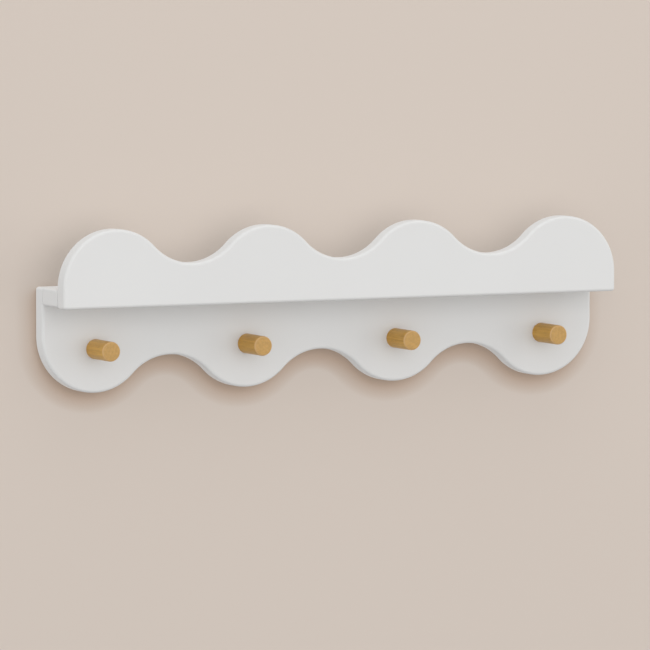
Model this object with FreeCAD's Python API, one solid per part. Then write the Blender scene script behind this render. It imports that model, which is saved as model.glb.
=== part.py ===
import FreeCAD, Part
import math
import os

# Wall rail with a narrow shelf behind a scalloped front panel, and pegs below it.
# Millimetres. X runs along the rail to the viewer's right, Y into the wall, Z up.
# The origin is on the wall face, midway between the two hanging points.

Point = FreeCAD.Vector

# Boards, all cut from one thickness
rail_length = 600.0
board_thickness = 17.0
edge_round = 3.0
lobe_count = 4
wave_depth = 34.7
back_end_height = 48.1
front_end_height = 20.1
shelf_depth = 35.0
shelf_reveal = 1.5
shelf_edge_round = 2.0

# Pegs, below the centres of the back panel's lobes
peg_drop = 13.4
peg_diameter = 19.4
peg_reach = 38.5
peg_end_round = 2.0
tenon_diameter = 12.0
tenon_chamfer = 0.8
tenon_backing = 7.0

# Dowels between the shelf and the front panel
dowel_diameter = 8.0
dowel_length = 30.0
dowel_chamfer = 1.0
dowel_skin = 4.0
dowel_end_inset = 24.0

# Wood screws through the back panel
screw_head_diameter = 8.0
screw_shank_diameter = 4.0
screw_core_diameter = 2.8
screw_rim = 0.4
screw_sink = 0.4
screw_point_share = 1.4
peg_screw_length = 30.0
shelf_screw_bite_share = 0.67

# Keyhole hangers let into the back panel
hanger_inset = 100.0
hanging_drop = 30.0
plate_length = 45.0
plate_height = 22.0
plate_thickness = 2.0
plate_corner = 3.0
plate_sink = 0.3
keyhole_entry_diameter = 9.5
keyhole_slot_width = 4.8
keyhole_travel = 7.0
head_room_depth = 6.0
head_room_side = 1.0
plate_screw_spacing = 33.0
plate_screw_head_diameter = 5.6
plate_screw_shank_diameter = 3.0
plate_screw_core_diameter = 2.2
plate_screw_rim = 0.2
plate_screw_cover = 3.0

# Clearances, and how far a cutter starts outside what it cuts
glue_gap = 0.1
thread_gap = 0.05
shank_gap = 0.2
plate_gap = 0.25
hole_end_gap = 1.0
overrun = 1.0


def wave_arc_radius():
    """Radius of the equal, tangent arcs that fill the rail's length at this wave depth."""
    share = 1 / (4 * (lobe_count - 1) ** 2)
    half_sum = 2 * (share * rail_length + wave_depth)
    product = 4 * share * (share * rail_length**2 + wave_depth**2)
    return (half_sum - math.sqrt(half_sum**2 - product)) / (4 * share)


arc_radius = wave_arc_radius()
lobe_pitch = (rail_length - 2 * arc_radius) / (lobe_count - 1)
lobe_places = [arc_radius - rail_length / 2 + i * lobe_pitch for i in range(lobe_count)]

# Heights above the hanging line
back_top = hanging_drop
back_bottom = back_top - back_end_height - arc_radius
shelf_bottom = back_top - board_thickness
shelf_middle = (back_top + shelf_bottom) / 2
front_bottom = shelf_bottom - shelf_reveal
front_top = front_bottom + front_end_height + arc_radius
peg_height = back_bottom + arc_radius - peg_drop

# Distances forward of the wall, which are negative in Y
back_face = -board_thickness
shelf_front = back_face - shelf_depth
tenon_end = -tenon_backing
plate_seat = -plate_sink - plate_thickness


def scalloped_board(straight_edge, crest, rear_face):
    """Board with one straight long edge, a wave of tangent arcs along the other and eased edges."""
    way = 1 if crest > straight_edge else -1
    spring = crest - way * arc_radius
    tangent = crest - way * wave_depth / 2
    hollow = crest - way * wave_depth
    end = rail_length / 2

    def at(x, z):
        return Point(x, rear_face, z)

    edges = [Part.LineSegment(at(-end, straight_edge), at(-end, spring))]
    start = at(-end, spring)
    for x in lobe_places[:-1]:
        stop = at(x + lobe_pitch / 4, tangent)
        edges.append(Part.Arc(start, at(x, crest), stop))
        start = at(x + 3 * lobe_pitch / 4, tangent)
        edges.append(Part.Arc(stop, at(x + lobe_pitch / 2, hollow), start))
    edges.append(Part.Arc(start, at(lobe_places[-1], crest), at(end, spring)))
    edges.append(Part.LineSegment(at(end, spring), at(end, straight_edge)))
    edges.append(Part.LineSegment(at(end, straight_edge), at(-end, straight_edge)))
    outline = Part.Wire([edge.toShape() for edge in edges])
    board = Part.Face(outline).extrude(Point(0, -board_thickness, 0))
    return board.makeFillet(edge_round, board.Edges)


def turned(profile, x, y, z):
    """Solid turned about an axis parallel to Y, from points of radius and distance forward of y."""
    points = [Point(radius, -forward, 0) for radius, forward in profile]
    face = Part.Face(Part.makePolygon(points + points[:1]))
    solid = face.revolve(Point(0, 0, 0), Point(0, 1, 0), 360)
    solid.translate(Point(x, y, z))
    return solid


def bore(radius, start, end, x, y, z):
    """Round cutter from start to end, as distances forward of y."""
    return turned([(0, start), (radius, start), (radius, end), (0, end)], x, y, z)


def pilot_hole(core, depth, x, y, z):
    """Cutter for a screw's core, forward from y, with an overrun behind it."""
    return bore(core / 2 + thread_gap, -overrun, depth, x, y, z)


def screw(head, shank, core, rim, length, grip, x, y, z):
    """Countersunk screw pointing forward: rim, cone, smooth shank in the grip, core and point."""
    profile = [
        (0, 0),
        (head / 2, 0),
        (head / 2, rim),
        (shank / 2, rim + (head - shank) / 2),
        (shank / 2, grip),
        (core / 2, grip),
        (core / 2, length - core * screw_point_share),
        (0, length),
    ]
    return turned(profile, x, y, z)


def countersunk_hole(head, shank, rim, depth, x, y, z):
    """Cutter for a clearance hole with a countersink, a gap wider all round than its screw."""
    profile = [
        (0, -overrun),
        (head / 2 + shank_gap, -overrun),
        (head / 2 + shank_gap, rim),
        (shank / 2 + shank_gap, rim + (head - shank) / 2),
        (shank / 2 + shank_gap, depth),
        (0, depth),
    ]
    return turned(profile, x, y, z)


def edges_along_y(shape):
    return [edge for edge in shape.Edges if round(abs(edge.tangentAt(0).y)) == 1]


def wood_screw(length, grip, x, z):
    """Screw through the back panel, its head sunk a little below the wall face."""
    return screw(
        screw_head_diameter, screw_shank_diameter, screw_core_diameter, screw_rim,
        length, grip, x, -screw_sink, z,
    )


def wood_screw_hole(depth, x, z):
    """Countersunk hole into the back panel from its wall face."""
    rim = screw_sink + screw_rim
    return countersunk_hole(screw_head_diameter, screw_shank_diameter, rim, depth, x, 0, z)


# Each grip is what a screw passes before it bites
peg_screw_grip = tenon_backing - screw_sink
shelf_screw_grip = board_thickness - screw_sink
shelf_screw_bite = shelf_depth * shelf_screw_bite_share


def peg(x):
    """Round peg: shouldered tenon, shaft with an eased end, and a pilot hole for its screw."""
    tenon = tenon_diameter / 2
    shaft = peg_diameter / 2
    shoulder = board_thickness - tenon_backing
    end = shoulder + peg_reach
    profile = [
        (0, 0),
        (tenon - tenon_chamfer, 0),
        (tenon, tenon_chamfer),
        (tenon, shoulder),
        (shaft, shoulder),
        (shaft, end),
        (0, end),
    ]
    solid = turned(profile, x, tenon_end, peg_height)
    reach_end = tenon_end - end + peg_end_round
    rims = [edge for edge in solid.Edges if edge.Closed and edge.BoundBox.YMax < reach_end]
    solid = solid.makeFillet(peg_end_round, rims)
    bite = peg_screw_length - peg_screw_grip + hole_end_gap
    return solid.cut(pilot_hole(screw_core_diameter, bite, x, tenon_end, peg_height))


# Dowels stand halfway between the screws, and near both ends of the shelf
dowel_places = [dowel_end_inset - rail_length / 2]
dowel_places += [x + lobe_pitch / 2 for x in lobe_places[:-1]]
dowel_places += [rail_length / 2 - dowel_end_inset]
dowel_in_panel = board_thickness - dowel_skin - hole_end_gap
dowel_rear = shelf_front + dowel_length - dowel_in_panel


def dowel(x):
    """Chamfered dowel, part in the shelf's front edge and part in the front panel."""
    radius = dowel_diameter / 2
    profile = [
        (0, 0),
        (radius - dowel_chamfer, 0),
        (radius, dowel_chamfer),
        (radius, dowel_length - dowel_chamfer),
        (radius - dowel_chamfer, dowel_length),
        (0, dowel_length),
    ]
    return turned(profile, x, dowel_rear, shelf_middle)


def dowel_hole(x):
    """Cutter for both halves of a dowel's hole, with room for glue all round and at each end."""
    radius = dowel_diameter / 2 + glue_gap
    return bore(radius, -hole_end_gap, dowel_length + hole_end_gap, x, dowel_rear, shelf_middle)


# The shank of a wall screw bears at the top of each keyhole, on the hanging line
keyhole_height = keyhole_travel + (keyhole_entry_diameter + keyhole_slot_width) / 2
keyhole_margin = (plate_height - keyhole_height) / 2
plate_middle = keyhole_slot_width / 2 + keyhole_margin - plate_height / 2
hanger_places = [hanger_inset - rail_length / 2, rail_length / 2 - hanger_inset]
plate_screw_length = board_thickness - plate_sink - hole_end_gap - plate_screw_cover


def rounded_plate(grow, rear, front, x):
    """Plate with rounded corners between two Y levels, its outline grown all round."""
    length = plate_length + 2 * grow
    height = plate_height + 2 * grow
    corner = Point(x - length / 2, front, plate_middle - height / 2)
    block = Part.makeBox(length, rear - front, height, corner)
    return block.makeFillet(plate_corner + grow, edges_along_y(block))


def keyhole_slot(radius, rear, front, x):
    """Upright slot cutter between two Y levels, its round ends a keyhole's travel apart."""
    depth = rear - front
    corner = Point(x - radius, front, -keyhole_travel)
    slot = Part.makeBox(2 * radius, depth, keyhole_travel, corner)
    for z in (0, -keyhole_travel):
        slot = slot.fuse(Part.makeCylinder(radius, depth, Point(x, front, z), Point(0, 1, 0)))
    return slot.removeSplitter()


def plate_screw_places(x):
    return [x - plate_screw_spacing / 2, x + plate_screw_spacing / 2]


def hanger(x):
    """Steel plate with a keyhole, wide below and narrow above, and two countersunk holes."""
    rear = overrun - plate_sink
    front = plate_seat - overrun
    keyhole = keyhole_slot(keyhole_slot_width / 2, rear, front, x)
    entry = bore(keyhole_entry_diameter / 2, 0, rear - front, x, rear, -keyhole_travel)
    plate = rounded_plate(0, -plate_sink, plate_seat, x).cut(keyhole.fuse(entry))
    for place in plate_screw_places(x):
        plate = plate.cut(countersunk_hole(
            plate_screw_head_diameter, plate_screw_shank_diameter, plate_screw_rim,
            plate_thickness + overrun, place, -plate_sink, plate_middle,
        ))
    return plate


def hanger_screw(x):
    return screw(
        plate_screw_head_diameter, plate_screw_shank_diameter, plate_screw_core_diameter,
        plate_screw_rim, plate_screw_length, plate_thickness, x, -plate_sink, plate_middle,
    )


def hanger_pocket(x):
    """Cutter for a plate's recess, room for the wall screw's head behind it and two pilot holes."""
    pocket = rounded_plate(plate_gap, overrun, plate_seat, x)
    radius = keyhole_entry_diameter / 2 + head_room_side
    pocket = pocket.fuse(keyhole_slot(radius, overrun, plate_seat - head_room_depth, x))
    bite = plate_screw_length - plate_thickness + hole_end_gap
    for place in plate_screw_places(x):
        hole = pilot_hole(plate_screw_core_diameter, bite, place, plate_seat, plate_middle)
        pocket = pocket.fuse(hole)
    return pocket


def back_panel():
    """Wall board with its lobes down, bored for the pegs and screws and routed for the hangers."""
    panel = scalloped_board(back_top, back_bottom, 0)
    socket = tenon_diameter / 2 + glue_gap
    socket_floor = tenon_backing - hole_end_gap
    for x in lobe_places:
        panel = panel.cut(bore(socket, socket_floor, board_thickness + overrun, x, 0, peg_height))
        panel = panel.cut(wood_screw_hole(tenon_backing, x, peg_height))
        panel = panel.cut(wood_screw_hole(board_thickness + overrun, x, shelf_middle))
    for x in hanger_places:
        panel = panel.cut(hanger_pocket(x))
    return panel


def shelf_board():
    """Board between the panels and flush with their ends, with eased edges."""
    corner = Point(-rail_length / 2, shelf_front, shelf_bottom)
    board = Part.makeBox(rail_length, shelf_depth, board_thickness, corner)
    board = board.makeFillet(shelf_edge_round, board.Edges)
    bite = shelf_screw_bite + hole_end_gap
    for x in lobe_places:
        board = board.cut(pilot_hole(screw_core_diameter, bite, x, back_face, shelf_middle))
    for x in dowel_places:
        board = board.cut(dowel_hole(x))
    return board


def front_panel():
    """Board with its lobes up, blind bored from behind for the dowels."""
    panel = scalloped_board(front_bottom, front_top, shelf_front)
    for x in dowel_places:
        panel = panel.cut(dowel_hole(x))
    return panel


def peg_screw(x):
    return wood_screw(peg_screw_length, peg_screw_grip, x, peg_height)


def shelf_screw(x):
    return wood_screw(shelf_screw_grip + shelf_screw_bite, shelf_screw_grip, x, shelf_middle)


hanger_screw_places = [place for x in hanger_places for place in plate_screw_places(x)]
parts = {
    "back_panel": back_panel(),
    "shelf_board": shelf_board(),
    "front_panel": front_panel(),
    "peg_screws": Part.Compound([peg_screw(x) for x in lobe_places]),
    "shelf_screws": Part.Compound([shelf_screw(x) for x in lobe_places]),
    "front_dowels": Part.Compound([dowel(x) for x in dowel_places]),
    "hanger_left": hanger(hanger_places[0]),
    "hanger_right": hanger(hanger_places[1]),
    "hanger_screws": Part.Compound([hanger_screw(x) for x in hanger_screw_places]),
}
for number, x in enumerate(lobe_places, 1):
    parts[f"peg_{number}"] = peg(x)

os.makedirs("parts", exist_ok=True)
for name, shape in parts.items():
    shape.exportStep(os.path.join("parts", name + ".step"))
    print(name, len(shape.Solids), "valid" if shape.isValid() else "not valid")
print("arc radius", round(arc_radius, 3), "lobe pitch", round(lobe_pitch, 3))
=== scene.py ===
import math

import bmesh
import bpy
from bpy.props import FloatProperty, FloatVectorProperty, IntProperty, PointerProperty
from mathutils import Matrix, Vector


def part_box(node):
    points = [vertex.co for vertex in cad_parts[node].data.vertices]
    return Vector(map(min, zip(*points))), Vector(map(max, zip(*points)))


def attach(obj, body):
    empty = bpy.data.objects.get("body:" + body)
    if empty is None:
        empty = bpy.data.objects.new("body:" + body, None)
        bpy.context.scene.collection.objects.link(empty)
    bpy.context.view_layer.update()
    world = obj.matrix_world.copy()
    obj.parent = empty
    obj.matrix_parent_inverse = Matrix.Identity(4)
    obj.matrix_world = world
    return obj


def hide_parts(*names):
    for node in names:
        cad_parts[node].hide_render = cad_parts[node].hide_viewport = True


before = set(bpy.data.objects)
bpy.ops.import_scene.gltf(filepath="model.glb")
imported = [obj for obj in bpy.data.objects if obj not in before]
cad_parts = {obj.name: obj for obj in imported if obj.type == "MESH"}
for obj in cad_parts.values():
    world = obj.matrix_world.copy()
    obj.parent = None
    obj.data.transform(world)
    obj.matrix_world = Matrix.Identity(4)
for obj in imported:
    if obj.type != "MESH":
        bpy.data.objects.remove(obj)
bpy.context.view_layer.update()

bl_info = {
    "name": "Scalloped Peg Rail",
    "version": (1, 0, 0),
    "blender": (4, 5, 0),
    "location": "3D View > Sidebar > Peg Rail",
    "description": "Makes a scalloped wall rail with a shelf, round pegs and the fixings behind it",
    "category": "Add Mesh",
}

PEG_NODES = sorted(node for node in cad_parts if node.startswith("peg_") and node[4:].isdigit())
HANGER_NODES = ["hanger_left", "hanger_right"]
BODY = "root"

# How finely curves are divided, and how far a cutter starts outside what it cuts
WAVE_STEP = math.radians(2.5)
ROUND_STEPS = 8
PEG_STEPS = 96
HOLE_STEPS = 64
SCREW_STEPS = 32
RINGS_PER_TURN = 8
STEPS_PER_FLUTE = 6
OVERRUN = 0.001
SHARP_ANGLE = math.radians(32)

# A cross recess, in parts of its screw head's diameter, and how much it narrows on the way in
RECESS_REACH = 0.29
RECESS_HALF_WIDTH = 0.085
RECESS_BELOW_HEAD = 0.04
RECESS_TAPER = 0.62


def length(name, description, default):
    """A size in metres that a user can change."""
    return FloatProperty(
        name=name, description=description, default=default, min=0, precision=4, unit="LENGTH"
    )


def level(name, description, default):
    """A level of light, where 1 shows a colour as it is written."""
    return FloatProperty(name=name, description=description, default=default, min=0)


def colour(name, description, default):
    """A linear colour that a user can change."""
    return FloatVectorProperty(
        name=name, description=description, default=default, size=3, min=0, max=1, subtype="COLOR"
    )


def turn(name, description, degrees):
    """An angle that a user can change."""
    return FloatProperty(
        name=name, description=description, default=math.radians(degrees), subtype="ANGLE"
    )


class PegRailBoards(bpy.types.PropertyGroup):
    """Sizes of the three boards that their boxes don't give"""

    lobe_count: IntProperty(name="Lobes", description="Lobes along each wave", default=4, min=2)
    wave_depth: length("Wave Depth", "From the top of a lobe to the bottom of a hollow", 0.0347)
    edge_round: length("Edge Round", "Radius of both panels' eased edges", 0.003)
    shelf_round: length("Shelf Round", "Radius of the shelf's eased edges", 0.002)


class PegRailPegs(bpy.types.PropertyGroup):
    """Sizes of the pegs that their boxes don't give"""

    tenon_diameter: length("Tenon Diameter", "Thickness of the tenon in the back panel", 0.012)
    tenon_chamfer: length("Tenon Chamfer", "Chamfer at the tenon's end", 0.0008)
    end_round: length("End Round", "Radius at the rim of the free end", 0.002)
    stick_step: length("Stick Step", "From one peg's stretch of the stick to the next one's", 0.37)
    glue_gap: length("Glue Gap", "Room for glue all round a tenon or dowel", 0.0001)
    end_gap: length("End Gap", "Room past the end of a tenon, dowel or screw", 0.001)


class PegRailFixings(bpy.types.PropertyGroup):
    """Sizes of the wood screws and dowels"""

    head_diameter: length("Screw Head", "Diameter of a wood screw's head", 0.008)
    shank_diameter: length("Screw Shank", "Diameter of a wood screw's smooth shank", 0.004)
    core_diameter: length("Screw Core", "Diameter of a wood screw below its thread", 0.0028)
    head_rim: length("Screw Rim", "Upright edge of a wood screw's head", 0.0004)
    thread_pitch: length("Thread Pitch", "Advance of a wood screw's thread in a turn", 0.0018)
    screw_gap: length("Screw Gap", "Room round a screw in its clearance hole", 0.0002)
    dowel_diameter: length("Dowel Diameter", "Diameter of a dowel over its ribs", 0.008)
    dowel_chamfer: length("Dowel Chamfer", "Chamfer at both ends of a dowel", 0.001)
    dowel_inset: length("Dowel Inset", "From the shelf's end to its first dowel", 0.024)
    flute_count: IntProperty(name="Flutes", description="Glue grooves round a dowel", default=18)
    flute_depth: length("Flute Depth", "Depth of a dowel's glue grooves", 0.00025)


class PegRailHangers(bpy.types.PropertyGroup):
    """Sizes of the keyhole plates and their screws"""

    plate_corner: length("Plate Corner", "Radius of a plate's corners", 0.003)
    plate_edge: length("Plate Edge", "Break of a plate's edges", 0.0002)
    plate_gap: length("Plate Gap", "Room round a plate in its recess", 0.00025)
    entry_diameter: length("Keyhole Entry", "Diameter of the hole for the wall screw's head", 0.0095)
    slot_width: length("Keyhole Slot", "Width of the slot for the wall screw's shank", 0.0048)
    travel: length("Keyhole Travel", "From the entry's centre up to the shank's seat", 0.007)
    head_room: length("Head Room", "Depth of the hollow behind a plate", 0.006)
    head_room_side: length("Head Room Side", "Room beside the wall screw's head", 0.001)
    screw_spacing: length("Screw Spacing", "Between a plate's two screws", 0.033)
    head_diameter: length("Plate Screw Head", "Diameter of a plate screw's head", 0.0056)
    shank_diameter: length("Plate Screw Shank", "Diameter of a plate screw's shank", 0.003)
    core_diameter: length("Plate Screw Core", "Diameter of a plate screw below its thread", 0.0022)
    head_rim: length("Plate Screw Rim", "Upright edge of a plate screw's head", 0.0002)
    thread_pitch: length("Plate Screw Pitch", "Advance of a plate screw's thread", 0.0012)


class PegRailFinishes(bpy.types.PropertyGroup):
    """Colours of the finishes"""

    paint: colour("Paint", "White satin paint", (0.735, 0.724, 0.709))
    bare_board: colour("Bare Board", "Fibreboard where it is cut", (0.42, 0.30, 0.19))
    oak_light: colour("Light Oak", "Pale streaks along the pegs", (0.675, 0.382, 0.080))
    oak_dark: colour("Dark Oak", "Dark streaks and rings of the pegs", (0.515, 0.264, 0.043))
    oak_pore: colour("Oak Pores", "Open pores of the pegs", (0.25, 0.12, 0.03))
    oak_end: colour("Oak Ends", "End grain of the pegs", (0.565, 0.344, 0.133))
    # The rim colour is a painted highlight: paler wood laid on the rounded rim of each peg's end.
    oak_rim_highlight: colour("Oak Rims", "Sanded rims of the pegs", (0.63, 0.395, 0.185))
    beech: colour("Beech", "Wood of the dowels", (0.62, 0.44, 0.28))
    zinc: colour("Zinc", "Plating of the screws and plates", (0.50, 0.51, 0.52))


class PegRailStage(bpy.types.PropertyGroup):
    """Camera, backdrop and light"""

    camera_turn: turn("Camera Turn", "How far left of square the camera stands", 25.81)
    camera_drop: turn("Camera Drop", "How far down the camera looks", 4.33)
    camera_distance: length("Camera Distance", "From the camera to its target", 7.2886)
    camera_lens: FloatProperty(name="Lens", description="Focal length", default=408.5, unit="CAMERA")
    target_across: FloatProperty(
        name="Target Across", description="Camera's target right of the middle", default=0.0122
    )
    target_up: FloatProperty(
        name="Target Up", description="Camera's target above the hanging line", default=-0.01769
    )
    backdrop: colour("Backdrop", "Wall and floor", (0.660, 0.571, 0.503))
    # The backdrop's shade is the colour of a painted contact shadow, and the shade reach is how far from
    # the rail it spreads.
    backdrop_painted_shadow: colour("Backdrop Shade", "Wall where it touches the rail", (0.535, 0.403, 0.315))
    shade_reach: length("Shade Reach", "How far from the rail the wall is darker", 0.022)
    backdrop_size: length("Backdrop Size", "Width and height of the wall", 3.0)
    floor_drop: length("Floor Drop", "From the hanging line down to the floor", 1.2)
    around: level("Light Around", "Level of the even light from the horizon up", 0.747)
    below: level("Light From Below", "Level to which the even light falls straight below", 0.347)
    around_tint: colour("Tint Around", "Colour of the even light", (0.957, 0.981, 1.0))
    lamp_distance: length("Lamp Distance", "From the rail to each lamp", 3.0)
    lamp_size: length("Lamp Size", "Width of each square lamp", 2.4)
    side_level: level("Side Lamp", "Level of the side lamp on a surface that faces it", 0.142)
    side_turn: turn("Side Lamp Turn", "How far right of square the side lamp stands", -85)
    side_rise: turn("Side Lamp Rise", "How high the side lamp stands", 10)
    front_level: level("Front Lamp", "Level of the front lamp on a surface that faces it", 0.285)
    front_turn: turn("Front Lamp Turn", "How far right of square the front lamp stands", -5)
    front_rise: turn("Front Lamp Rise", "How high the front lamp stands", 7)
    right_level: level("Right Lamp", "Level of the right lamp on a surface that faces it", 0.14)
    right_turn: turn("Right Lamp Turn", "How far right of square the right lamp stands", 60)
    right_rise: turn("Right Lamp Rise", "How high the right lamp stands", 8)
    top_level: level("Top Lamp", "Level of the top lamp on a surface that faces it", 0.168)
    top_turn: turn("Top Lamp Turn", "How far right of square the top lamp stands", 0)
    top_rise: turn("Top Lamp Rise", "How high the top lamp stands", 75)
    rear_level: level("Rear Lamp", "Level of the rear lamp on a surface that faces it", 0.11)
    rear_turn: turn("Rear Lamp Turn", "How far right of square the rear lamp stands", 180)
    rear_rise: turn("Rear Lamp Rise", "How high the rear lamp stands", 0)
    rear_size: length("Rear Lamp Size", "Width of the rear lamp, so that metal doesn't glare", 3.6)


def arc(centre, radius, start, end, steps):
    """Points on an arc between two angles, both ends included."""
    x, z = centre
    angles = [start + (end - start) * i / steps for i in range(steps + 1)]
    return [(x + radius * math.cos(angle), z + radius * math.sin(angle)) for angle in angles]


def wave_arc_radius(width, boards):
    """Radius of the equal, tangent arcs that fill a board's length at this wave depth."""
    # Solves (pitch / 2) ** 2 + (2 * radius - depth) ** 2 = (2 * radius) ** 2 for the radius
    part = 1 / (4 * (boards.lobe_count - 1) ** 2)
    half_sum = 2 * (part * width + boards.wave_depth)
    product = 4 * part * (part * width**2 + boards.wave_depth**2)
    return (half_sum - math.sqrt(half_sum**2 - product)) / (4 * part)


def wave_outline(low, high, straight, crest, boards):
    """Outline with one straight long edge and a wave of tangent arcs along the other."""
    radius = wave_arc_radius(high - low, boards)
    pitch = (high - low - 2 * radius) / (boards.lobe_count - 1)
    way = 1 if crest > straight else -1
    meeting = math.acos(pitch / (4 * radius))
    lobe_height = crest - way * radius
    hollow_height = crest - way * (boards.wave_depth - radius)
    last = boards.lobe_count - 1
    points = [(low, straight), (high, straight)]
    for i in range(last, -1, -1):
        x = low + radius + i * pitch
        start = 0 if i == last else meeting
        end = math.pi if i == 0 else math.pi - meeting
        steps = round((end - start) / WAVE_STEP)
        lobe = arc((x, 0), radius, start, end, steps)
        points += [(across, lobe_height + way * up) for across, up in lobe]
        if i:
            steps = round((math.pi - 2 * meeting) / WAVE_STEP)
            hollow = arc((x - pitch / 2, 0), radius, -meeting, meeting - math.pi, steps)
            points += [(across, hollow_height + way * up) for across, up in hollow[1:-1]]
    return points


def rectangle(low, high):
    """Outline of a rectangle between two (x, z) corners."""
    return [(low[0], low[1]), (high[0], low[1]), (high[0], high[1]), (low[0], high[1])]


def rounded_rectangle(low, high, radius):
    """Outline of a rectangle between two (x, z) corners, its corners rounded."""
    points = []
    for i, (x, z) in enumerate(rectangle(low, high)):
        across = radius if x == low[0] else -radius
        up = radius if z == low[1] else -radius
        start = math.pi * (1 + i / 2)
        points += arc((x + across, z + up), radius, start, start + math.pi / 2, ROUND_STEPS)
    return points


def upright_slot(x, low, high, radius):
    """Outline of a slot with a round end about each of two heights."""
    steps = HOLE_STEPS // 2
    lower = arc((x, low), radius, math.pi, 2 * math.pi, steps)
    return lower + arc((x, high), radius, 0, math.pi, steps)


def skinned(name, rings):
    """Mesh stretched over rings of as many points each, with flat ends."""
    shape = bmesh.new()
    rows = [[shape.verts.new(point) for point in ring] for ring in rings]
    for near, far in zip(rows, rows[1:]):
        for i in range(len(near)):
            shape.faces.new((near[i - 1], near[i], far[i], far[i - 1]))
    shape.faces.new(rows[0])
    shape.faces.new(rows[-1])
    bmesh.ops.recalc_face_normals(shape, faces=shape.faces)
    mesh = bpy.data.meshes.new(name)
    shape.to_mesh(mesh)
    shape.free()
    return mesh


def slab(name, outline, rear, front):
    """Board with an outline of (x, z) points between two Y levels."""
    return skinned(name, [[(x, y, z) for x, z in outline] for y in (rear, front)])


def turned(name, profile, steps, relief=None):
    """Piece turned about Y from (radius, distance forward) points, with any relief added all round."""
    angles = [2 * math.pi * i / steps for i in range(steps)]
    rings = []
    for radius, forward in profile:
        radii = [radius + (relief(angle, forward) if relief else 0) for angle in angles]
        rings.append([
            (r * math.cos(angle), -forward, r * math.sin(angle)) for r, angle in zip(radii, angles)
        ])
    return skinned(name, rings)


def repeated(name, mesh, places, angles=None):
    """One mesh with a copy of another at each place, turned about Y. The other is used up."""
    shape = bmesh.new()
    for place, angle in zip(places, angles or [0] * len(places)):
        copy = mesh.copy()
        copy.transform(Matrix.Translation(place) @ Matrix.Rotation(angle, 4, "Y"))
        shape.from_mesh(copy)
        bpy.data.meshes.remove(copy)
    joined = bpy.data.meshes.new(name)
    shape.to_mesh(joined)
    shape.free()
    for material in mesh.materials:
        joined.materials.append(material)
    bpy.data.meshes.remove(mesh)
    return joined


def scattered(count, first, step):
    """Angles of like pieces that nobody lines up, from a first one on in steps of degrees."""
    return [math.radians(first + step * i) for i in range(count)]


def placed(name, mesh):
    piece = bpy.data.objects.new(name, mesh)
    bpy.context.scene.collection.objects.link(piece)
    return piece


def applied(piece):
    """Swaps a piece's mesh for the one that its modifiers make."""
    bpy.context.view_layer.update()
    depsgraph = bpy.context.evaluated_depsgraph_get()
    mesh = bpy.data.meshes.new_from_object(piece.evaluated_get(depsgraph), depsgraph=depsgraph)
    name, old = piece.data.name, piece.data
    piece.modifiers.clear()
    piece.data = mesh
    bpy.data.meshes.remove(old)
    mesh.name = name


def ease(piece, width, segments=ROUND_STEPS):
    """Rounds every edge that turns by more than a gentle curve does."""
    bevel = piece.modifiers.new("Eased edges", "BEVEL")
    bevel.width = width
    bevel.segments = segments
    bevel.limit_method = "ANGLE"
    bevel.angle_limit = SHARP_ANGLE
    bevel.use_clamp_overlap = False
    applied(piece)


def cut(piece, meshes, inside=None):
    """Cuts meshes out of a piece, one after another, and gives what they bare its own finish."""
    cutters = []
    for mesh in meshes:
        if inside:
            mesh.materials.append(inside)
        cutters.append(placed("cutter", mesh))
        hole = piece.modifiers.new("Cut", "BOOLEAN")
        hole.operation = "DIFFERENCE"
        hole.solver = "EXACT"
        hole.material_mode = "TRANSFER" if inside else "INDEX"
        hole.object = cutters[-1]
    applied(piece)
    for cutter in cutters:
        mesh = cutter.data
        bpy.data.objects.remove(cutter)
        bpy.data.meshes.remove(mesh)


def dress(piece, finish, nodes):
    """Smooths a finished piece, gives it its finish and puts it in the place of its CAD nodes."""
    if not piece.data.materials:
        piece.data.materials.append(finish)
    piece.data.shade_smooth()
    piece.data.set_sharp_from_angle(angle=SHARP_ANGLE)
    normals = piece.modifiers.new("Flat faces stay flat", "WEIGHTED_NORMAL")
    normals.keep_sharp = True
    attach(piece, BODY)
    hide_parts(*nodes)


def node(tree, kind, inputs=(), **settings):
    """New node whose inputs are set to numbers or linked to other nodes' sockets."""
    made = tree.nodes.new(kind)
    for key, value in settings.items():
        setattr(made, key, value)
    for key, value in dict(inputs).items():
        if isinstance(value, bpy.types.NodeSocket):
            tree.links.new(value, made.inputs[key])
        else:
            made.inputs[key].default_value = value
    return made


def mapped(tree, scale=(1, 1, 1), location=(0, 0, 0), rotation=(0, 0, 0)):
    """A piece's own coordinates in metres, moved, turned and scaled."""
    places = node(tree, "ShaderNodeTexCoord").outputs["Object"]
    mapping = node(tree, "ShaderNodeMapping", {
        "Vector": places, "Location": location, "Rotation": rotation, "Scale": scale,
    })
    return mapping.outputs["Vector"]


def noise(tree, places, scale, detail=2.0, roughness=0.5):
    """Soft noise from 0 to 1, mostly near the middle, whose spots are about 1 / scale apart."""
    return node(tree, "ShaderNodeTexNoise", {
        "Vector": places, "Scale": scale, "Detail": detail, "Roughness": roughness,
    }).outputs["Fac"]


def ranged(tree, value, low, high, to_low, to_high):
    """Value moved from one range to another and kept within it."""
    return node(tree, "ShaderNodeMapRange", {
        "Value": value, "From Min": low, "From Max": high, "To Min": to_low, "To Max": to_high,
    }).outputs["Result"]


def times(tree, first, second):
    return node(tree, "ShaderNodeMath", {0: first, 1: second}, operation="MULTIPLY").outputs[0]


def between(tree, factor, first, second):
    """Colour between two others."""
    made = tree.nodes.new("ShaderNodeMix")
    made.data_type = "RGBA"
    tree.links.new(factor, made.inputs[0])
    for socket, value in ((made.inputs[6], first), (made.inputs[7], second)):
        if isinstance(value, bpy.types.NodeSocket):
            tree.links.new(value, socket)
        else:
            socket.default_value = (*value, 1)
    return made.outputs[2]


def bump(tree, height, strength, distance):
    return node(tree, "ShaderNodeBump", {
        "Height": height, "Strength": strength, "Distance": distance,
    }).outputs["Normal"]


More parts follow.
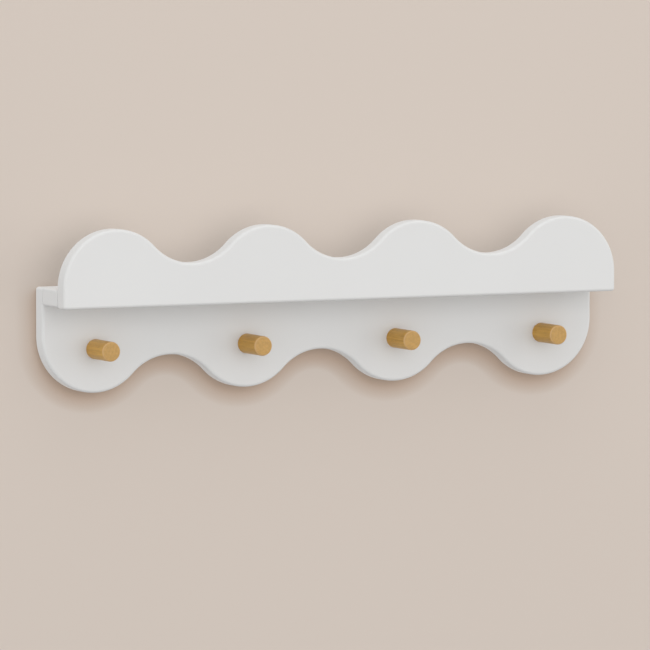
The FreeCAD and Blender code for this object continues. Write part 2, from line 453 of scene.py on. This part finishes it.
def material(name, make, finishes):
    """The named finish, made on first use."""
    if name in bpy.data.materials:
        return bpy.data.materials[name]
    made = bpy.data.materials.new(name)
    made.use_nodes = True
    make(made.node_tree, made.node_tree.nodes["Principled BSDF"], finishes)
    return made


def set_inputs(tree, shader, inputs):
    for key, value in inputs.items():
        if isinstance(value, bpy.types.NodeSocket):
            tree.links.new(value, shader.inputs[key])
        else:
            shader.inputs[key].default_value = value


def toned(tone, amount):
    """A colour made darker or lighter."""
    return tuple(channel * amount for channel in tone)


def satin_paint(tree, shader, finishes):
    """Sprayed satin paint: a hardly uneven white with the fine dimples of the spray."""
    places = mapped(tree)
    drift = ranged(tree, noise(tree, places, 9), 0.3, 0.7, 0, 1)
    dimples = noise(tree, places, 620, 3)
    set_inputs(tree, shader, {
        "Base Color": between(tree, drift, toned(finishes.paint, 0.985), finishes.paint),
        "Roughness": ranged(tree, noise(tree, places, 70, 3), 0.3, 0.7, 0.32, 0.40),
        "Normal": bump(tree, dimples, 0.12, 0.0002),
    })


def cut_fibreboard(tree, shader, finishes):
    """Fibreboard as a cutter leaves it: brown, matt and finely speckled."""
    speckle = noise(tree, mapped(tree), 2600, 4, 0.7)
    tone = ranged(tree, speckle, 0.35, 0.65, 0, 1)
    set_inputs(tree, shader, {
        "Base Color": between(tree, tone, toned(finishes.bare_board, 0.7), finishes.bare_board),
        "Roughness": ranged(tree, speckle, 0.3, 0.7, 0.85, 0.95),
        "Normal": bump(tree, speckle, 0.4, 0.0002),
    })


def oiled_oak(tree, shader, finishes):
    """Oak with rings about a line beside the peg, open pores, mottled ends and a painted highlight on the
    rounded rims.
    """
    rings = node(tree, "ShaderNodeTexWave", {
        "Vector": mapped(tree, location=(0.031, 0, 0.012), rotation=(0.03, 0, 0.02)),
        "Scale": 95, "Distortion": 3.2, "Detail": 3, "Detail Scale": 0.7,
    }, wave_type="RINGS", rings_direction="Y", wave_profile="SIN").outputs["Fac"]
    streaks = noise(tree, mapped(tree, scale=(1, 0.035, 1)), 620, 3, 0.55)
    pores = noise(tree, mapped(tree, scale=(1, 0.05, 1)), 3000, 2)
    drift = noise(tree, mapped(tree, scale=(1, 0.3, 1)), 110, 2)
    wood = between(tree, ranged(tree, streaks, 0.36, 0.62, 0, 1), finishes.oak_dark, finishes.oak_light)
    wood = between(tree, ranged(tree, rings, 0.2, 0.9, 0, 0.4), wood, finishes.oak_dark)
    in_rings = ranged(tree, rings, 0.1, 0.8, 0.2, 1)
    open_pores = times(tree, ranged(tree, pores, 0.56, 0.68, 0, 0.7), in_rings)
    wood = between(tree, open_pores, wood, finishes.oak_pore)
    wood = between(tree, ranged(tree, drift, 0.35, 0.7, 0, 0.3), wood, finishes.oak_light)
    own = node(tree, "ShaderNodeTexCoord").outputs
    along = node(tree, "ShaderNodeSeparateXYZ", {"Vector": own["Object"]}).outputs["Y"]
    # Painted sheen: the first peg, whose mesh stands nearest the origin along Y, is mixed partly toward the
    # end-grain tone, so it shows paler than the others.
    wood = between(tree, ranged(tree, along, 0.1, 0.3, 0.15, 0), wood, finishes.oak_end)
    specks = noise(tree, mapped(tree, scale=(1, 0.3, 1)), 330, 5, 0.7)
    mottled = ranged(tree, specks, 0.42, 0.58, 0.8, 0)
    end_grain = between(tree, ranged(tree, rings, 0.3, 0.9, 0, 0.18), finishes.oak_end, finishes.oak_dark)
    end_grain = between(tree, mottled, end_grain, toned(finishes.oak_end, 0.84))
    facing = node(tree, "ShaderNodeSeparateXYZ", {"Vector": own["Normal"]}).outputs["Y"]
    wood = between(tree, ranged(tree, facing, -0.5, -0.9, 0, 0.9), wood, end_grain)
    # Painted highlight: the rounded rim between side and end is mixed toward the paler rim colour all
    # round.
    off_side = ranged(tree, facing, -0.2, -0.6, 0, 1)
    off_end = ranged(tree, facing, -0.95, -0.8, 0, 1)
    wood = between(tree, times(tree, off_side, off_end), wood, finishes.oak_rim_highlight)
    set_inputs(tree, shader, {
        "Base Color": wood,
        "Roughness": ranged(tree, streaks, 0.3, 0.7, 0.3, 0.4),
        "Specular IOR Level": 0.15,
        "Normal": bump(tree, open_pores, 0.25, -0.0001),
    })


def bare_beech(tree, shader, finishes):
    """Beech with the short dark flecks that it has along the grain."""
    flecks = noise(tree, mapped(tree, scale=(1, 0.12, 1)), 2200, 3)
    tone = ranged(tree, flecks, 0.42, 0.68, 1, 0)
    set_inputs(tree, shader, {
        "Base Color": between(tree, tone, toned(finishes.beech, 0.72), finishes.beech),
        "Roughness": ranged(tree, flecks, 0.3, 0.7, 0.6, 0.72),
        "Normal": bump(tree, flecks, 0.2, 0.0001),
    })


def zinc_plate(tree, shader, finishes):
    """Bright zinc plate: pale bluish metal, faintly clouded."""
    clouds = noise(tree, mapped(tree), 260, 4, 0.6)
    set_inputs(tree, shader, {
        "Base Color": between(tree, clouds, toned(finishes.zinc, 0.88), finishes.zinc),
        "Metallic": 1.0,
        "Roughness": ranged(tree, clouds, 0.3, 0.7, 0.28, 0.42),
        "Normal": bump(tree, noise(tree, mapped(tree), 1800, 2), 0.06, 0.0001),
    })


def one_sided(name, tone, shade, reach):
    """Matt backdrop with a painted contact shadow, darker close to the rail, that isn't there when seen
    from behind.
    """
    made = bpy.data.materials.new(name)
    made.use_nodes = True
    tree = made.node_tree
    tree.nodes.remove(tree.nodes["Principled BSDF"])
    # Painted contact shadow: ambient occlusion, sampled up and out from the wall, mixes its colour toward
    # the painted shadow colour close below and beside the rail.
    up_and_out = node(tree, "ShaderNodeCombineXYZ", {"Y": -0.6, "Z": 0.8}).outputs["Vector"]
    openness = node(tree, "ShaderNodeAmbientOcclusion", {
        "Distance": reach, "Normal": up_and_out,
    }).outputs["AO"]
    painted_shadow_colour = between(tree, ranged(tree, openness, 0.5, 1, 0, 1), shade, tone)
    matt = node(tree, "ShaderNodeBsdfDiffuse", {"Color": painted_shadow_colour})
    clear = node(tree, "ShaderNodeBsdfTransparent")
    side = node(tree, "ShaderNodeNewGeometry").outputs["Backfacing"]
    shown = node(tree, "ShaderNodeMixShader", {
        0: side, 1: matt.outputs["BSDF"], 2: clear.outputs["BSDF"],
    })
    tree.links.new(shown.outputs["Shader"], tree.nodes["Material Output"].inputs["Surface"])
    return made


def threaded(name, head, shank, core, rim, grip, reach, pitch):
    """Countersunk wood screw that points forward, with a thread past its grip and a cross recess."""
    point = 2 * shank
    start, end = grip, reach - point
    ring_gap = pitch / RINGS_PER_TURN
    tip = core / 8
    profile = [
        (head / 2, 0), (head / 2, rim), (shank / 2, rim + (head - shank) / 2), (shank / 2, grip - core / 2),
        (core / 2, grip),
    ]
    profile += [(core / 2, start + i * ring_gap) for i in range(1, int((end - start) / ring_gap))]
    taper = round(point / ring_gap)
    for i in range(taper):
        profile.append((tip + (core / 2 - tip) * (1 - i / taper), end + point * i / taper))
    profile.append((tip, reach))
    height = (shank - core) / 2

    def ridge(angle, forward):
        if forward <= start or forward >= reach:
            return 0
        # The ridge is a triangle that takes up half of each turn, and fades out at both ends
        phase = (forward / pitch - angle / (2 * math.pi)) % 1
        crest = max(0, 1 - abs(phase - 0.5) * 4)
        return height * crest * min(1, (forward - start) / pitch, (reach - forward) / point)

    screw = placed(name, turned(name, profile, SCREW_STEPS, ridge))
    cut(screw, [cross_recess(head, shank)])
    mesh = screw.data
    bpy.data.objects.remove(screw)
    return mesh


def cross_recess(head, shank):
    """Cutter for a cross recess, which narrows as it goes in."""
    wing, arm = head * RECESS_REACH, head * RECESS_HALF_WIDTH
    corner = [(wing, -arm), (wing, arm), (arm, arm)]
    outline = []
    for quarter in range(4):
        c, s = round(math.cos(quarter * math.pi / 2)), round(math.sin(quarter * math.pi / 2))
        outline += [(c * x - s * z, s * x + c * z) for x, z in corner]
    depth = (head - shank) / 2 + head * RECESS_BELOW_HEAD
    rings = []
    for y, part in ((OVERRUN, 1 + RECESS_TAPER * OVERRUN / depth), (-depth, 1 - RECESS_TAPER)):
        rings.append([(x * part, y, z * part) for x, z in outline])
    return skinned("recess", rings)


def countersunk_hole(head, shank, rim, gap, depth):
    """Cutter for a clearance hole with a countersink, a gap wider all round than its screw."""
    profile = [
        (head / 2 + gap, -OVERRUN), (head / 2 + gap, rim),
        (shank / 2 + gap, rim + (head - shank) / 2), (shank / 2 + gap, depth),
    ]
    return turned("hole", profile, HOLE_STEPS)


def bore(radius, start, end):
    """Cutter for a round hole between two distances forward."""
    return turned("bore", [(radius, start), (radius, end)], HOLE_STEPS)


def middle(node_name):
    """Middle of a node's box in the frame."""
    low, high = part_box(node_name)
    return (low + high) / 2


def lobe_places(y, z):
    """In line with each peg, at one depth and height."""
    return [Vector((middle(peg).x, y, z)) for peg in PEG_NODES]


def dowel_places(y, fixings):
    """Between the pegs, and near both ends of the shelf."""
    low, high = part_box("shelf_board")
    pegs = [middle(peg).x for peg in PEG_NODES]
    across = [low.x + fixings.dowel_inset]
    across += [(left + right) / 2 for left, right in zip(pegs, pegs[1:])]
    across += [high.x - fixings.dowel_inset]
    return [Vector((x, y, middle("shelf_board").z)) for x in across]


def plate_screw_places(y, hangers):
    """On both sides of each keyhole."""
    half = hangers.screw_spacing / 2
    return [
        Vector((middle(plate).x + side * half, y, middle(plate).z))
        for plate in HANGER_NODES for side in (-1, 1)
    ]


def dowel_holes(pegs, fixings):
    """Cutter for both halves of every dowel's hole."""
    low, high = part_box("front_dowels")
    radius = fixings.dowel_diameter / 2 + pegs.glue_gap
    hole = bore(radius, -pegs.end_gap, high.y - low.y + pegs.end_gap)
    return repeated("dowel holes", hole, dowel_places(high.y, fixings))


def hanger_pockets(settings, hangers):
    """Cutters for the plates' recesses, the hollows behind them and their screws' pilot holes."""
    cutters = []
    for plate in HANGER_NODES:
        low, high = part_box(plate)
        gap = hangers.plate_gap
        outline = rounded_rectangle(
            (low.x - gap, low.z - gap), (high.x + gap, high.z + gap), hangers.plate_corner + gap
        )
        cutters.append(slab("recess", outline, OVERRUN, low.y))
        radius = hangers.entry_diameter / 2 + hangers.head_room_side
        outline = upright_slot(middle(plate).x, -hangers.travel, 0, radius)
        cutters.append(slab("hollow", outline, OVERRUN, low.y - hangers.head_room))
    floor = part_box(HANGER_NODES[0])[0].y
    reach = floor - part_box("hanger_screws")[0].y + settings.end_gap
    pilot = bore(hangers.core_diameter / 2, -OVERRUN, reach)
    cutters.append(repeated("pilots", pilot, plate_screw_places(floor, hangers)))
    return cutters


class PEG_RAIL_OT_back_panel(bpy.types.Operator):
    """Make the painted board on the wall, bored for its pegs and screws and routed for its hangers"""

    bl_idname = "peg_rail.back_panel"
    bl_label = "Back Panel"
    bl_options = {"REGISTER", "UNDO"}

    def execute(self, context):
        scene = context.scene
        boards, pegs, fixings = scene.peg_rail_boards, scene.peg_rail_pegs, scene.peg_rail_fixings
        low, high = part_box("back_panel")
        outline = wave_outline(low.x, high.x, high.z, low.z, boards)
        panel = placed("painted_back_panel", slab("painted_back_panel", outline, high.y, low.y))
        panel.data.materials.append(material("satin paint", satin_paint, scene.peg_rail_finishes))
        ease(panel, boards.edge_round)
        head, shank, gap = fixings.head_diameter, fixings.shank_diameter, fixings.screw_gap
        thickness = high.y - low.y
        tenon_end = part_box(PEG_NODES[0])[1].y
        peg_height = middle(PEG_NODES[0]).z
        rim = fixings.head_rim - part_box("peg_screws")[1].y
        socket = bore(
            pegs.tenon_diameter / 2 + pegs.glue_gap, -tenon_end - pegs.end_gap, thickness + OVERRUN
        )
        peg_hole = countersunk_hole(head, shank, rim, gap, -tenon_end)
        shelf_hole = countersunk_hole(head, shank, rim, gap, thickness + OVERRUN)
        cutters = [
            repeated("sockets", socket, lobe_places(0, peg_height)),
            repeated("peg screw holes", peg_hole, lobe_places(0, peg_height)),
            repeated("shelf screw holes", shelf_hole, lobe_places(0, middle("shelf_screws").z)),
        ]
        cutters += hanger_pockets(pegs, scene.peg_rail_hangers)
        cut(panel, cutters, material("cut fibreboard", cut_fibreboard, scene.peg_rail_finishes))
        dress(panel, None, ["back_panel"])
        return {"FINISHED"}


class PEG_RAIL_OT_shelf_board(bpy.types.Operator):
    """Make the painted shelf between the two panels"""

    bl_idname = "peg_rail.shelf_board"
    bl_label = "Shelf Board"
    bl_options = {"REGISTER", "UNDO"}

    def execute(self, context):
        scene = context.scene
        fixings = scene.peg_rail_fixings
        low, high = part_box("shelf_board")
        outline = rectangle((low.x, low.z), (high.x, high.z))
        shelf = placed("painted_shelf", slab("painted_shelf", outline, high.y, low.y))
        shelf.data.materials.append(material("satin paint", satin_paint, scene.peg_rail_finishes))
        ease(shelf, scene.peg_rail_boards.shelf_round)
        reach = high.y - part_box("shelf_screws")[0].y + scene.peg_rail_pegs.end_gap
        pilot = bore(fixings.core_diameter / 2, -OVERRUN, reach)
        cutters = [
            repeated("pilots", pilot, lobe_places(high.y, middle("shelf_screws").z)),
            dowel_holes(scene.peg_rail_pegs, fixings),
        ]
        cut(shelf, cutters, material("cut fibreboard", cut_fibreboard, scene.peg_rail_finishes))
        dress(shelf, None, ["shelf_board"])
        return {"FINISHED"}


class PEG_RAIL_OT_front_panel(bpy.types.Operator):
    """Make the painted board that fences the shelf"""

    bl_idname = "peg_rail.front_panel"
    bl_label = "Front Panel"
    bl_options = {"REGISTER", "UNDO"}

    def execute(self, context):
        scene = context.scene
        low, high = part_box("front_panel")
        outline = wave_outline(low.x, high.x, low.z, high.z, scene.peg_rail_boards)
        panel = placed("painted_front_panel", slab("painted_front_panel", outline, high.y, low.y))
        panel.data.materials.append(material("satin paint", satin_paint, scene.peg_rail_finishes))
        ease(panel, scene.peg_rail_boards.edge_round)
        bare = material("cut fibreboard", cut_fibreboard, scene.peg_rail_finishes)
        cut(panel, [dowel_holes(scene.peg_rail_pegs, scene.peg_rail_fixings)], bare)
        dress(panel, None, ["front_panel"])
        return {"FINISHED"}


class PEG_RAIL_OT_pegs(bpy.types.Operator):
    """Turn the oak pegs, each from another stretch of the stick and another way round"""

    bl_idname = "peg_rail.pegs"
    bl_label = "Pegs"
    bl_options = {"REGISTER", "UNDO"}

    def execute(self, context):
        scene = context.scene
        pegs, fixings = scene.peg_rail_pegs, scene.peg_rail_fixings
        oak = material("oiled oak", oiled_oak, scene.peg_rail_finishes)
        panel_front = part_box("back_panel")[0].y
        angles = scattered(len(PEG_NODES), 35, 137)
        for i, name in enumerate(PEG_NODES):
            low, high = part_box(name)
            radius, tenon = (high.x - low.x) / 2, pegs.tenon_diameter / 2
            shoulder, end = high.y - panel_front, high.y - low.y
            pilot = high.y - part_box("peg_screws")[0].y + pegs.end_gap
            centre = (radius - pegs.end_round, end - pegs.end_round)
            rim = arc(centre, pegs.end_round, 0, math.pi / 2, ROUND_STEPS)
            profile = [
                (fixings.core_diameter / 2, pilot), (fixings.core_diameter / 2, 0),
                (tenon - pegs.tenon_chamfer, 0), (tenon, pegs.tenon_chamfer), (tenon, shoulder),
                (radius, shoulder),
            ]
            mesh = turned(f"oak_{name}", profile + rim, PEG_STEPS)
            # The grain follows a mesh's own coordinates, so each mesh stands further along them
            along = Vector((0, pegs.stick_step * i, 0))
            mesh.transform(Matrix.Translation(along))
            peg = placed(f"oak_{name}", mesh)
            peg.location = Vector((middle(name).x, high.y, middle(name).z)) - along
            peg.rotation_euler.y = angles[i]
            dress(peg, oak, [name])
        return {"FINISHED"}


class PEG_RAIL_OT_wood_screws(bpy.types.Operator):
    """Make the screws through the back panel into the pegs and the shelf"""

    bl_idname = "peg_rail.wood_screws"
    bl_label = "Wood Screws"
    bl_options = {"REGISTER", "UNDO"}

    def execute(self, context):
        fixings = context.scene.peg_rail_fixings
        zinc = material("zinc plate", zinc_plate, context.scene.peg_rail_finishes)
        sets = (("peg_screws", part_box(PEG_NODES[0])[1].y), ("shelf_screws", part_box("shelf_board")[1].y))
        for name, bite in sets:
            low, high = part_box(name)
            one = threaded(
                name, fixings.head_diameter, fixings.shank_diameter, fixings.core_diameter,
                fixings.head_rim, high.y - bite, high.y - low.y, fixings.thread_pitch,
            )
            places = lobe_places(high.y, middle(name).z)
            angles = scattered(len(places), 20 + 10 * len(name), 73)
            screws = placed(f"zinc_{name}", repeated(f"zinc_{name}", one, places, angles))
            dress(screws, zinc, [name])
        return {"FINISHED"}


class PEG_RAIL_OT_dowels(bpy.types.Operator):
    """Make the fluted dowels between the shelf and the front panel"""

    bl_idname = "peg_rail.dowels"
    bl_label = "Dowels"
    bl_options = {"REGISTER", "UNDO"}

    def execute(self, context):
        fixings = context.scene.peg_rail_fixings
        low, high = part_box("front_dowels")
        radius, chamfer, reach = fixings.dowel_diameter / 2, fixings.dowel_chamfer, high.y - low.y
        profile = [
            (radius - chamfer, 0), (radius, chamfer), (radius, reach - chamfer), (radius - chamfer, reach),
        ]

        def flute(angle, forward):
            return fixings.flute_depth * (math.cos(fixings.flute_count * angle) - 1) / 2

        one = turned("dowel", profile, fixings.flute_count * STEPS_PER_FLUTE, flute)
        dowels = placed("beech_dowels", repeated("beech_dowels", one, dowel_places(high.y, fixings)))
        dress(
            dowels, material("bare beech", bare_beech, context.scene.peg_rail_finishes),
            ["front_dowels"],
        )
        return {"FINISHED"}


class PEG_RAIL_OT_hangers(bpy.types.Operator):
    """Make the two steel keyhole plates and their screws"""

    bl_idname = "peg_rail.hangers"
    bl_label = "Keyhole Hangers"
    bl_options = {"REGISTER", "UNDO"}

    def execute(self, context):
        hangers, fixings = context.scene.peg_rail_hangers, context.scene.peg_rail_fixings
        zinc = material("zinc plate", zinc_plate, context.scene.peg_rail_finishes)
        head, shank = hangers.head_diameter, hangers.shank_diameter
        for name in HANGER_NODES:
            low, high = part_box(name)
            outline = rounded_rectangle((low.x, low.z), (high.x, high.z), hangers.plate_corner)
            plate = placed(f"zinc_{name}", slab(f"zinc_{name}", outline, high.y, low.y))
            x, thickness = middle(name).x, high.y - low.y
            slot = upright_slot(x, -hangers.travel, 0, hangers.slot_width / 2)
            entry = bore(hangers.entry_diameter / 2, -OVERRUN, thickness + OVERRUN)
            hole = countersunk_hole(
                head, shank, hangers.head_rim, fixings.screw_gap, thickness + OVERRUN
            )
            places = [p for p in plate_screw_places(high.y, hangers) if low.x < p.x < high.x]
            cut(plate, [
                slab("slot", slot, high.y + OVERRUN, low.y - OVERRUN),
                repeated("entry", entry, [Vector((x, high.y, -hangers.travel))]),
                repeated("screw holes", hole, places),
            ])
            ease(plate, hangers.plate_edge, 2)
            dress(plate, zinc, [name])
        low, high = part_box("hanger_screws")
        one = threaded(
            "plate screw", head, shank, hangers.core_diameter, hangers.head_rim,
            high.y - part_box(HANGER_NODES[0])[0].y, high.y - low.y, hangers.thread_pitch,
        )
        places = plate_screw_places(high.y, hangers)
        angles = scattered(len(places), 15, 64)
        screws = placed("zinc_hanger_screws", repeated("zinc_hanger_screws", one, places, angles))
        dress(screws, zinc, ["hanger_screws"])
        return {"FINISHED"}


def add_backdrop(name, corners, finish):
    """Plain stage surface that neither shades the rail nor shows in its metal."""
    mesh = bpy.data.meshes.new(name)
    mesh.from_pydata(corners, [], [range(len(corners))])
    mesh.materials.append(finish)
    surface = placed(name, mesh)
    surface.visible_shadow = False
    surface.visible_diffuse = False
    surface.visible_glossy = False


def add_world(stage):
    """Even light that falls off below, and the backdrop's colour where the camera sees past the wall."""
    world = bpy.data.worlds.new("even light")
    world.use_nodes = True
    bpy.context.scene.world = world
    tree = world.node_tree
    light = tree.nodes["Background"]
    light.inputs["Color"].default_value = (*stage.around_tint, 1)
    way = node(tree, "ShaderNodeTexCoord").outputs["Generated"]
    height = node(tree, "ShaderNodeSeparateXYZ", {"Vector": way}).outputs["Z"]
    tree.links.new(ranged(tree, height, -1, 0, stage.below, stage.around), light.inputs["Strength"])
    seen = node(tree, "ShaderNodeBackground", {"Color": (*stage.backdrop, 1), "Strength": 1.0})
    path = node(tree, "ShaderNodeLightPath")
    rays = [path.outputs[f"Is {kind} Ray"] for kind in ("Camera", "Glossy", "Transmission")]
    either = node(tree, "ShaderNodeMath", {0: rays[0], 1: rays[1]}, operation="MAXIMUM")
    either = node(tree, "ShaderNodeMath", {0: either.outputs[0], 1: rays[2]}, operation="MAXIMUM")
    shown = node(tree, "ShaderNodeMixShader", {
        0: either.outputs[0], 1: light.outputs["Background"], 2: seen.outputs["Background"],
    })
    tree.links.new(shown.outputs["Shader"], tree.nodes["World Output"].inputs["Surface"])


def add_lamp(stage, side):
    """Large soft lamp, placed by the settings that begin with its side's name."""
    name = f"{side} lamp"
    strength, across, rise = [getattr(stage, f"{side}_{part}") for part in ("level", "turn", "rise")]
    data = bpy.data.lights.new(name, "AREA")
    data.size = getattr(stage, f"{side}_size", stage.lamp_size)
    data.energy = strength * (math.pi * stage.lamp_distance) ** 2
    lamp = bpy.data.objects.new(name, data)
    way = Vector((
        math.sin(across) * math.cos(rise), -math.cos(across) * math.cos(rise), math.sin(rise),
    ))
    lamp.location = way * stage.lamp_distance
    lamp.rotation_euler = way.to_track_quat("Z", "Y").to_euler()
    bpy.context.scene.collection.objects.link(lamp)


def add_camera(stage):
    """Camera at the photograph's viewing angle."""
    data = bpy.data.cameras.new("camera")
    data.lens = stage.camera_lens
    data.sensor_fit = "HORIZONTAL"
    camera = bpy.data.objects.new("camera", data)
    across, drop = stage.camera_turn, stage.camera_drop
    ahead = Vector((
        math.sin(across) * math.cos(drop), math.cos(across) * math.cos(drop), -math.sin(drop),
    ))
    target = Vector((stage.target_across, 0, stage.target_up))
    camera.location = target - ahead * stage.camera_distance
    camera.rotation_euler = ahead.to_track_quat("-Z", "Y").to_euler()
    bpy.context.scene.collection.objects.link(camera)
    bpy.context.scene.camera = camera


class PEG_RAIL_OT_stage(bpy.types.Operator):
    """Set up the plain wall and floor, the soft light and the camera"""

    bl_idname = "peg_rail.stage"
    bl_label = "Stage"
    bl_options = {"REGISTER", "UNDO"}

    def execute(self, context):
        stage = context.scene.peg_rail_stage
        finish = one_sided("plain backdrop", stage.backdrop, stage.backdrop_painted_shadow, stage.shade_reach)
        half, floor = stage.backdrop_size / 2, -stage.floor_drop
        add_backdrop("wall", [
            (-half, 0, floor), (half, 0, floor), (half, 0, floor + 2 * half), (-half, 0, floor + 2 * half),
        ], finish)
        add_backdrop("floor", [
            (-half, -2 * half, floor), (half, -2 * half, floor), (half, 0, floor), (-half, 0, floor),
        ], finish)
        add_world(stage)
        for side in ("side", "front", "right", "top", "rear"):
            add_lamp(stage, side)
        add_camera(stage)
        context.scene.view_settings.view_transform = "Standard"
        return {"FINISHED"}


class PEG_RAIL_PT_panel(bpy.types.Panel):
    """Sizes, finishes and buttons of the peg rail"""

    bl_label = "Scalloped Peg Rail"
    bl_idname = "PEG_RAIL_PT_panel"
    bl_space_type = "VIEW_3D"
    bl_region_type = "UI"
    bl_category = "Peg Rail"

    def draw(self, context):
        for operator in OPERATORS:
            self.layout.operator(operator.bl_idname)
        for name in GROUPS:
            box = self.layout.box()
            settings = getattr(context.scene, name)
            for key in settings.__annotations__:
                box.prop(settings, key)


GROUPS = {
    "peg_rail_boards": PegRailBoards,
    "peg_rail_pegs": PegRailPegs,
    "peg_rail_fixings": PegRailFixings,
    "peg_rail_hangers": PegRailHangers,
    "peg_rail_finishes": PegRailFinishes,
    "peg_rail_stage": PegRailStage,
}
OPERATORS = (
    PEG_RAIL_OT_back_panel,
    PEG_RAIL_OT_shelf_board,
    PEG_RAIL_OT_front_panel,
    PEG_RAIL_OT_pegs,
    PEG_RAIL_OT_wood_screws,
    PEG_RAIL_OT_dowels,
    PEG_RAIL_OT_hangers,
    PEG_RAIL_OT_stage,
)
CLASSES = (*GROUPS.values(), *OPERATORS, PEG_RAIL_PT_panel)


def register():
    for item in CLASSES:
        bpy.utils.register_class(item)
    for name, group in GROUPS.items():
        setattr(bpy.types.Scene, name, PointerProperty(type=group))


def unregister():
    for name in GROUPS:
        delattr(bpy.types.Scene, name)
    for item in reversed(CLASSES):
        bpy.utils.unregister_class(item)


def main():
    register()
    bpy.ops.peg_rail.stage()
    bpy.ops.peg_rail.back_panel()
    bpy.ops.peg_rail.shelf_board()
    bpy.ops.peg_rail.front_panel()
    bpy.ops.peg_rail.pegs()
    bpy.ops.peg_rail.wood_screws()
    bpy.ops.peg_rail.dowels()
    bpy.ops.peg_rail.hangers()


if __name__ == "__main__":
    main()
